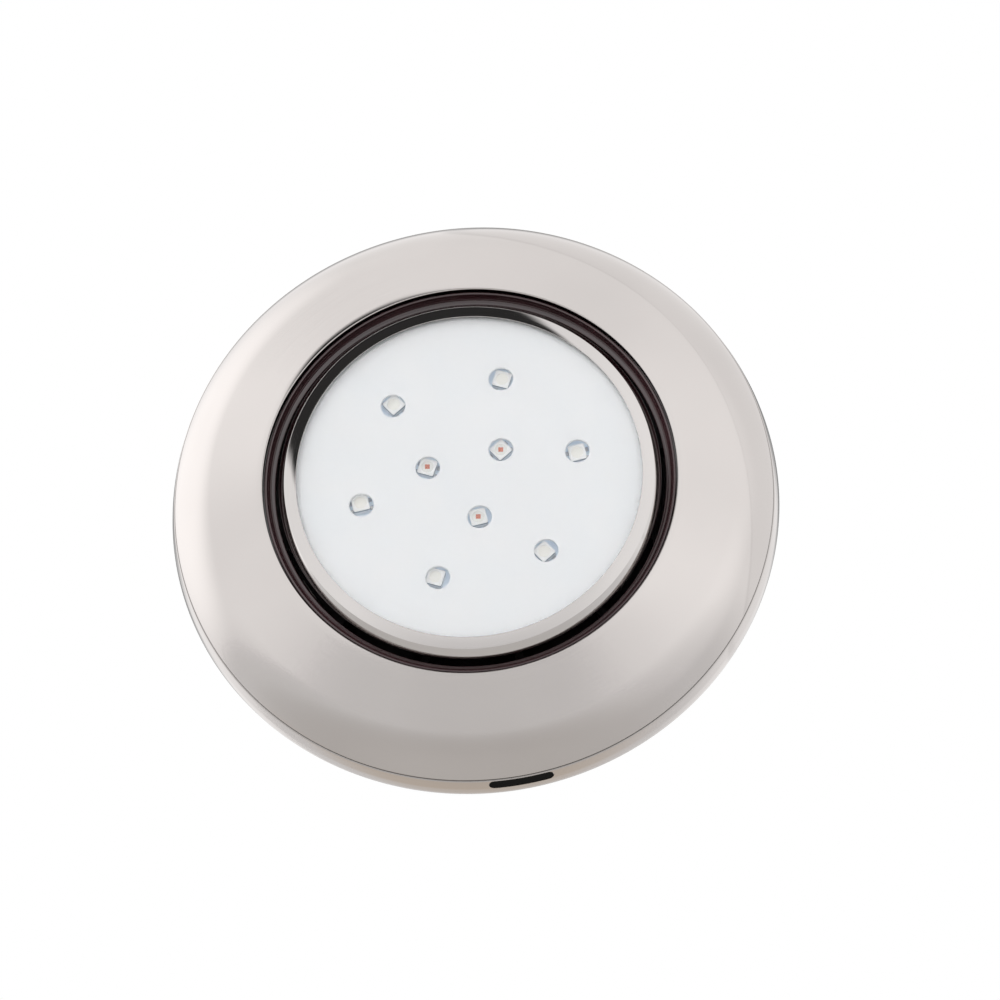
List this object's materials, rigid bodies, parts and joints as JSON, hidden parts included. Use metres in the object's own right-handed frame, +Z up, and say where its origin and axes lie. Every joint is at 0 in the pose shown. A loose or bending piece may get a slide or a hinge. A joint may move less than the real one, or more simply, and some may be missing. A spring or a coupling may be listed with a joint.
{
  "type": "underwater pool light",
  "caption": "Round surface-mounted underwater pool light with a polished dished face ring, clear lens over a white LED mask, threaded wall neck, lock nut and cable gland.",
  "frame": {"origin": "on the light's axis in the wall surface, where the neck enters the wall", "axes": "-Y out of the wall towards the viewer, +Y along the neck into the wall, +Z up, +X to the viewer's right"},
  "size_m": [0.125, 0.088, 0.125],
  "materials": {
    "polished_steel": "mirror-polished stainless sheet, fine polishing marks",
    "chrome_plate": "bright chrome plate",
    "clear_lens": "clear polycarbonate, flush and bright",
    "silicone": "translucent grey silicone",
    "white_mask": "cool white, matt",
    "led_package": "white moulded package",
    "red_die": "orange-red die",
    "board_white": "aluminium-core board with pale solder resist",
    "spring_steel": "stainless, as rolled",
    "thermal_pad": "grey-blue filled silicone",
    "heat_sink": "die cast, satin",
    "red_wire": "insulated wire",
    "black_gloss": "black, polished moulding",
    "black_abs": "black ABS, fine moulding grain",
    "gasket_rubber": "black EPDM",
    "green_board": "glass-epoxy board with green solder resist",
    "capacitor_sleeve": "sleeved can",
    "ferrite": "sintered ferrite",
    "copper_wire": "enamelled copper wire",
    "black_epoxy": "moulded epoxy",
    "terminal_green": "moulded polyamide",
    "black_wire": "insulated wire",
    "potting_resin": "poured epoxy resin",
    "black_nylon": "glass-filled nylon",
    "gland_nylon": "moulded nylon",
    "acetal": "natural acetal"
  },
  "bodies": {
    "light": {"lens_ring": "chrome_plate", "lens": "clear_lens", "lens_gasket": "silicone", "mask_plate": "white_mask", "outer_leds": "led_package", "inner_leds": "led_package", "red_dies": "red_die", "led_board": "board_white", "board_screws": "spring_steel", "thermal_pad": "thermal_pad", "heat_sink": "heat_sink", "led_leads": "red_wire", "housing": "black_abs", "wall_gasket": "gasket_rubber", "ring_clips": "spring_steel", "clip_screws": "spring_steel", "driver_board": "green_board", "capacitor": "capacitor_sleeve", "choke_core": "ferrite", "choke_winding": "copper_wire", "rectifier": "black_epoxy", "control_chip": "black_epoxy", "terminal_block": "terminal_green", "supply_leads": "black_wire", "resin_seal": "potting_resin", "gland_body": "gland_nylon", "gland_washer": "gasket_rubber", "gland_lock_nut": "gland_nylon", "gland_seal": "gasket_rubber"},
    "escutcheon": {"face_ring": "polished_steel", "ring_carrier": "black_gloss"},
    "clamp": {"rear_gasket": "gasket_rubber", "slip_washer": "black_nylon"},
    "nut": {"lock_nut": "black_nylon"},
    "slip_ring": {"gland_slip_ring": "acetal"},
    "dome_nut": {"gland_nut": "gland_nylon"}
  },
  "joints": [
    {"name": "ring_pull", "type": "slide", "parent": "light", "child": "escutcheon", "axis": [0, -1, 0], "range_m": [0, 0.03]},
    {"name": "clamp_slide", "type": "slide", "parent": "light", "child": "clamp", "axis": [0, 1, 0], "range_m": [-0.006, 0.01]},
    {"name": "nut_turn", "type": "hinge", "parent": "clamp", "child": "nut", "pos_m": [0, 0.02, 0], "axis": [0, 1, 0], "range_deg": [-940, 1565]},
    {"name": "slip_slide", "type": "slide", "parent": "light", "child": "slip_ring", "axis": [0, 1, 0], "range_m": [0, 0.006]},
    {"name": "dome_nut_turn", "type": "hinge", "parent": "slip_ring", "child": "dome_nut", "pos_m": [0, 0.06, 0], "axis": [0, 1, 0], "range_deg": [0, 1445]}
  ],
  "couplings": [
    {"joint": "nut_turn", "follows": "clamp_slide", "rad_per_m": 2721.2},
    {"joint": "dome_nut_turn", "follows": "slip_slide", "rad_per_m": 4188.8}
  ]
}
